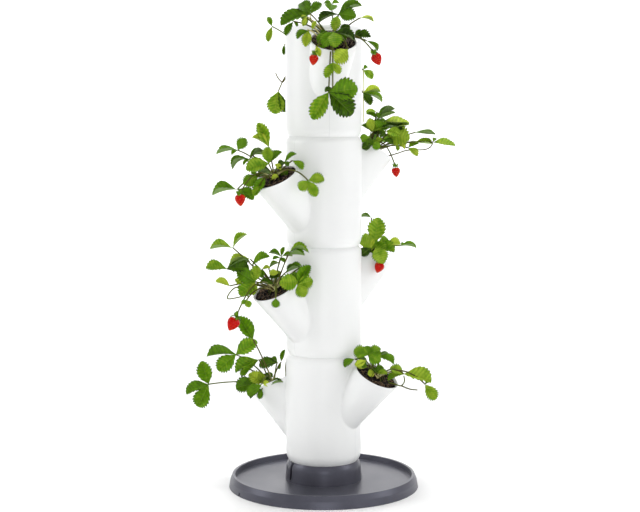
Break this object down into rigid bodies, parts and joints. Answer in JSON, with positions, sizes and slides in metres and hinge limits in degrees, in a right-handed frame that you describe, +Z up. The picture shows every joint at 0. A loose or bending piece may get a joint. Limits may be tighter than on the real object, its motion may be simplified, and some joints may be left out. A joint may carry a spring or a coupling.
{
  "type": "vertical planter tower",
  "caption": "Stacking tower planter for strawberries: round tiers with slanted planting pockets that turn on one another above a round water tray.",
  "frame": {"origin": "on the floor, at the middle of the tray's underside", "axes": "+Z up along the tower's axis; -Y towards the viewer of the picture; +X to the viewer's right"},
  "size_m": [0.5867, 0.4375, 1.0245],
  "materials": {
    "white_shell": "satin moulded white plastic",
    "grey_tray": "satin moulded dark grey plastic",
    "grey_plate": "matt moulded dark grey plastic",
    "soil": "loose potting soil with coconut fibre",
    "foliage": "living strawberry leaves and stalks",
    "berry": "fresh strawberries"
  },
  "bodies": {
    "base": {"tray": "grey_tray"},
    "tier_1": {"tier_1_shell": "white_shell", "tier_1_drain_plate": "grey_plate", "tier_1_soil": "soil", "tier_1_right_plant": "foliage", "tier_1_left_plant": "foliage"},
    "tier_2": {"tier_2_shell": "white_shell", "tier_2_drain_plate": "grey_plate", "tier_2_soil": "soil", "tier_2_right_plant": "foliage", "tier_2_right_berries": "berry", "tier_2_left_plant": "foliage", "tier_2_left_berries": "berry"},
    "tier_3": {"tier_3_shell": "white_shell", "tier_3_drain_plate": "grey_plate", "tier_3_soil": "soil", "tier_3_right_plant": "foliage", "tier_3_right_berries": "berry", "tier_3_left_plant": "foliage", "tier_3_left_berries": "berry"},
    "tier_4": {"tier_4_shell": "white_shell", "tier_4_drain_plate": "grey_plate", "tier_4_soil": "soil", "tier_4_front_plant": "foliage", "tier_4_front_berries": "berry", "tier_4_back_plant": "foliage", "tier_4_back_berries": "berry"}
  },
  "joints": [
    {"name": "tier_1_turn", "type": "hinge", "parent": "base", "child": "tier_1", "pos_m": [0, 0, 0.0574], "axis": [0, 0, 1], "continuous": true},
    {"name": "tier_2_turn", "type": "hinge", "parent": "tier_1", "child": "tier_2", "pos_m": [0, 0, 0.287], "axis": [0, 0, 1], "continuous": true},
    {"name": "tier_3_turn", "type": "hinge", "parent": "tier_2", "child": "tier_3", "pos_m": [0, 0, 0.5166], "axis": [0, 0, 1], "continuous": true},
    {"name": "tier_4_turn", "type": "hinge", "parent": "tier_3", "child": "tier_4", "pos_m": [0, 0, 0.7462], "axis": [0, 0, 1], "continuous": true}
  ]
}
